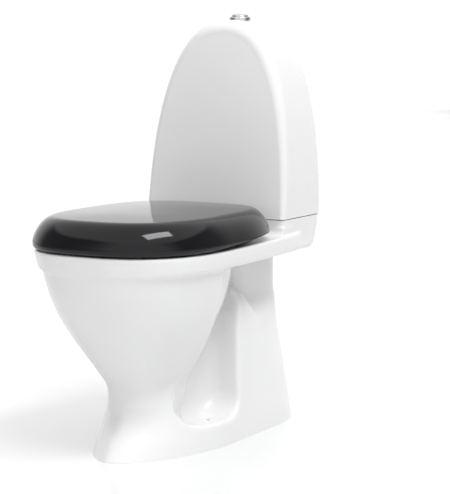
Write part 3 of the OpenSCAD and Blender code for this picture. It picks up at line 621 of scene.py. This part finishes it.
def lug(name, x, radius, low, high, y_half):
    """A hinge lug: a round eye with a bore and a web up or down to its shell."""
    eye = bmesh.new()
    turn = Matrix.Rotation(math.pi / 2, 4, "Y")
    bmesh.ops.create_cone(eye, cap_ends=True, segments=64, radius1=radius / 1000, radius2=radius / 1000,
                          depth=LUG_W / 1000,
                          matrix=Matrix.Translation((x / 1000, HINGE_Y / 1000, HINGE_Z / 1000)) @ turn)
    piece = cutter_object(eye)
    piece.name = name
    carve(piece, box_cutter((x - LUG_W / 2, HINGE_Y - y_half, low),
                            (x + LUG_W / 2, HINGE_Y + y_half, high)), "UNION")
    bore = bmesh.new()
    bmesh.ops.create_cone(bore, cap_ends=True, segments=64, radius1=PIN_R / 1000, radius2=PIN_R / 1000,
                          depth=0.02,
                          matrix=Matrix.Translation((x / 1000, HINGE_Y / 1000, HINGE_Z / 1000)) @ turn)
    carve(piece, cutter_object(bore))
    return piece


for side in (-1, 1):
    carve(lid, lug("cutter", side * (LID_LUG_IN + LUG_W / 2), 8, HINGE_Z, LID_ROOF + 2, 7), "UNION")
smooth_by_angle(lid, 35)
gloss_black, tree, shader = material("gloss_black", (0.004, 0.0035, 0.005, 1), 0.07)
shader.inputs["Specular IOR Level"].default_value = 0.36
spread(tree, noise(tree, 40, 5), 0.05, 0.10, shader.inputs["Roughness"])
bump(tree, shader, noise(tree, 14, 2), 0.0005, 0.15)
lid.data.materials.clear()
lid.data.materials.append(gloss_black)
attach(lid, "lid")
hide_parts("lid")

# ---- Seat ring ----
# A ring of the same gloss black plastic on four buffers, its inner edge sloping to the bowl, with
# two lugs that turn on the hinge pins.
SEAT_LOW, SEAT_H, SEAT_REAR = 406.0, 15.0, 96.0
outer = [(0, 3), (0.8, 1.4), (3, 0), (SEAT_H - 5, 0), (SEAT_H - 3, 0.8),
         (SEAT_H - 1.5, 3), (SEAT_H - 0.5, 5.4),
         (SEAT_H, 8)]
seat = ring_solid("seat_ring_shell", [around(SEAT_LOW + h, LID_HALF - 11 - s, -98, FRONT_Y + 11 + s,
                                             SEAT_REAR - s,
                                             2.6, 3.4) for h, s in outer])
inner = [(-1, 3), (0, 2.4), (2, 0), (SEAT_H - 6, 0), (SEAT_H - 4, 1.2), (SEAT_H - 2, 4), (SEAT_H - 0.6, 8),
         (SEAT_H + 1, 13)]
carve(seat, ring_solid("cutter", [around(SEAT_LOW + h, 111 + s, -100, -268 - s, 62 + s, 2.3, 2.2)
                                  for h, s in inner]))
for side in (-1, 1):
    middle = side * (SEAT_LUG_IN + LUG_W / 2)
    carve(seat, lug("cutter", middle, 9, SEAT_LOW + 3, HINGE_Z, 9), "UNION")
    carve(seat, box_cutter((middle - LUG_W / 2, SEAT_REAR - 18, SEAT_LOW + 3),
                           (middle + LUG_W / 2, HINGE_Y + 5, SEAT_LOW + SEAT_H)), "UNION")
smooth_by_angle(seat, 35)
seat.data.materials.clear()
seat.data.materials.append(gloss_black)
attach(seat, "seat")
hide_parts("seat_ring")

# ---- Foam strip ----
# A closed-cell foam strip between the hood and the deck, pressed thin by the hood's weight.


def dress(finish, *names):
    """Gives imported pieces, which keep their shape, their finish."""
    for name in names:
        for part_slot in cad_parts[name].material_slots:
            part_slot.material = finish


black_rubber, tree, shader = material("black_rubber", (0.02, 0.02, 0.022, 1), 0.7)
tint(tree, noise(tree, 90, 4), (0.014, 0.014, 0.015, 1), (0.03, 0.03, 0.032, 1), shader.inputs["Base Color"])
bump(tree, shader, noise(tree, 900, 3), 0.0002, 0.5)
dress(black_rubber, "cover_strip", "tank_gasket", "tank_bolt_washers", "valve_seal", "fill_valve_gasket")

# ---- Tank and its bolts ----
# A thin tank of moulded polyethylene inside the hood, held down on the deck by two steel bolts with
# rubber washers and hexagon nuts.
tank_plastic, tree, shader = material("tank_plastic", (0.70, 0.71, 0.70, 1), 0.42)
tint(tree, noise(tree, 16, 4), (0.66, 0.67, 0.66, 1), (0.73, 0.74, 0.73, 1), shader.inputs["Base Color"])
bump(tree, shader, noise(tree, 400, 3), 0.0002, 0.3)
shader.inputs["Subsurface Weight"].default_value = 0.1
dress(tank_plastic, "inner_tank")
zinc_steel, tree, shader = material("zinc_steel", (0.56, 0.56, 0.55, 1), 0.34, metal=1.0)
tint(tree, noise(tree, 120, 5), (0.48, 0.48, 0.47, 1), (0.62, 0.62, 0.60, 1), shader.inputs["Base Color"])
spread(tree, noise(tree, 300, 4, (1, 1, 6)), 0.26, 0.42, shader.inputs["Roughness"])
dress(zinc_steel, "tank_bolts", "tank_nuts", "lever_pin", "hinge_pins", "hinge_bolts")

# ---- Flush valve ----
# Moulded in polypropylene: a grey cage screwed through the deck, a blue lifting tube that carries the
# rubber seal, and a grey lever that the button's rod presses.
finishes = {}
for name, dark, light in (("grey_plastic", (0.20, 0.21, 0.23, 1), (0.25, 0.26, 0.28, 1)),
                          ("blue_plastic", (0.24, 0.36, 0.52, 1), (0.29, 0.42, 0.58, 1)),
                          ("white_plastic", (0.70, 0.70, 0.67, 1), (0.77, 0.77, 0.74, 1))):
    finishes[name], tree, shader = material(name, light, 0.36)
    tint(tree, noise(tree, 30, 4), dark, light, shader.inputs["Base Color"])
    spread(tree, noise(tree, 220, 3), 0.28, 0.42, shader.inputs["Roughness"])
    bump(tree, shader, noise(tree, 700, 2), 0.00012, 0.3)
dress(finishes["grey_plastic"], "flush_valve_body", "lift_lever")
dress(finishes["blue_plastic"], "overflow_tube", "lift_stem", "float_arm")
dress(finishes["white_plastic"], "flush_valve_nut")

# ---- Fill valve ----
# A white acetal valve on its inlet thread, with a blue arm and a white float cup that shuts it.
dress(finishes["white_plastic"], "fill_valve_body", "fill_valve_nut", "float_cup")

# ---- Push button ----
# Chromed plastic: a bezel screwed through the hood into a nut, and two halves of a domed disc that
# slide in it. Each half presses a white rod.
BEZEL_R, BUTTON_R, BUTTON_RISE, BUTTON_LOW, SPLIT_X = 23.0, 18.6, 14.0, 815.0, -3.0
chrome, tree, shader = material("chrome", (0.66, 0.67, 0.68, 1), 0.07, metal=1.0)
spread(tree, noise(tree, 260, 4), 0.04, 0.11, shader.inputs["Roughness"])


def turned(name, profile, count=96):
    """A closed ring turned about the button's axis from an outline of radius and height."""
    n = len(profile)
    points = [(r * math.cos(a), VALVE_Y + r * math.sin(a), z)
              for a in np.linspace(0, 2 * math.pi, count, endpoint=False) for r, z in profile]
    faces = [(k * n + i, k * n + (i + 1) % n, (k + 1) % count * n + (i + 1) % n, (k + 1) % count * n + i)
             for k in range(count) for i in range(n)]
    return mesh_object(name, points, faces)


shoulder = [(BEZEL_R - 3.4 + 3.4 * math.sin(t), HOOD_TOP + 3.4 + 3.4 * math.cos(t))
            for t in np.radians(np.arange(0, 91, 10))]
lip = [(BUTTON_R + 1.2 - 0.8 * math.sin(t), HOOD_TOP + 6.0 + 0.8 * math.cos(t))
       for t in np.radians(np.arange(90, -1, -30))]
bezel = turned("chrome_bezel", [(BUTTON_R + 0.4, HOOD_TOP - 44), *lip, *shoulder, (BEZEL_R, HOOD_TOP + 0.1),
                                (BEZEL_R - 3, HOOD_TOP + 0.1), (BEZEL_R - 3, HOOD_TOP - 44)])
smooth_by_angle(bezel, 30)
bezel.data.materials.append(chrome)
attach(bezel, "pan")
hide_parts("button_bezel")
for name, node, low_x, high_x in (("full_flush_half", "full_flush_button", SPLIT_X, 60),
                                  ("half_flush_half", "half_flush_button", -60, SPLIT_X - 0.8)):
    top = HOOD_TOP + BUTTON_RISE
    rings = [around(z, r, VALVE_Y, VALVE_Y - r, VALVE_Y + r, 2, 2, 96)
             for r, z in [(BUTTON_R, BUTTON_LOW), (BUTTON_R, top - 5.2), (BUTTON_R - 0.4, top - 4.4),
                          (BUTTON_R - 1.2, top - 3.9)]
             + [(r, top - r * r / 90) for r in (16.5, 13.5, 10, 6.5, 3)]]
    half = ring_solid(name, rings, (0, VALVE_Y, top))
    carve(half, box_cutter((low_x, VALVE_Y - 30, BUTTON_LOW - 1),
                           (high_x, VALVE_Y + 30, top + 5)), "INTERSECT")
    edge = half.modifiers.new("eased_edge", "BEVEL")
    edge.width = 0.0006
    edge.segments = 3
    edge.limit_method = "ANGLE"
    edge.angle_limit = math.radians(50)
    smooth_by_angle(half, 40)
    half.data.materials.clear()
    half.data.materials.append(chrome)
    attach(half, node)
    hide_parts(node)
dress(finishes["white_plastic"], "full_push_rod", "half_push_rod", "bezel_nut", "rod_guide")

# ---- Hinges and buffers ----
# Chromed posts screwed through the rim with steel bolts, rubber washers and plastic wing nuts, and
# grey rubber buffers pressed under the seat and the lid.
dress(chrome, "hinge_posts")
dress(finishes["white_plastic"], "hinge_nuts")
grey_rubber, tree, shader = material("grey_rubber", (0.07, 0.07, 0.075, 1), 0.62)
tint(tree, noise(tree, 110, 4), (0.05, 0.05, 0.054, 1), (0.09, 0.09, 0.095, 1), shader.inputs["Base Color"])
bump(tree, shader, noise(tree, 1000, 3), 0.00015, 0.5)
dress(grey_rubber, "seat_buffers", "lid_buffers", "hinge_washers")
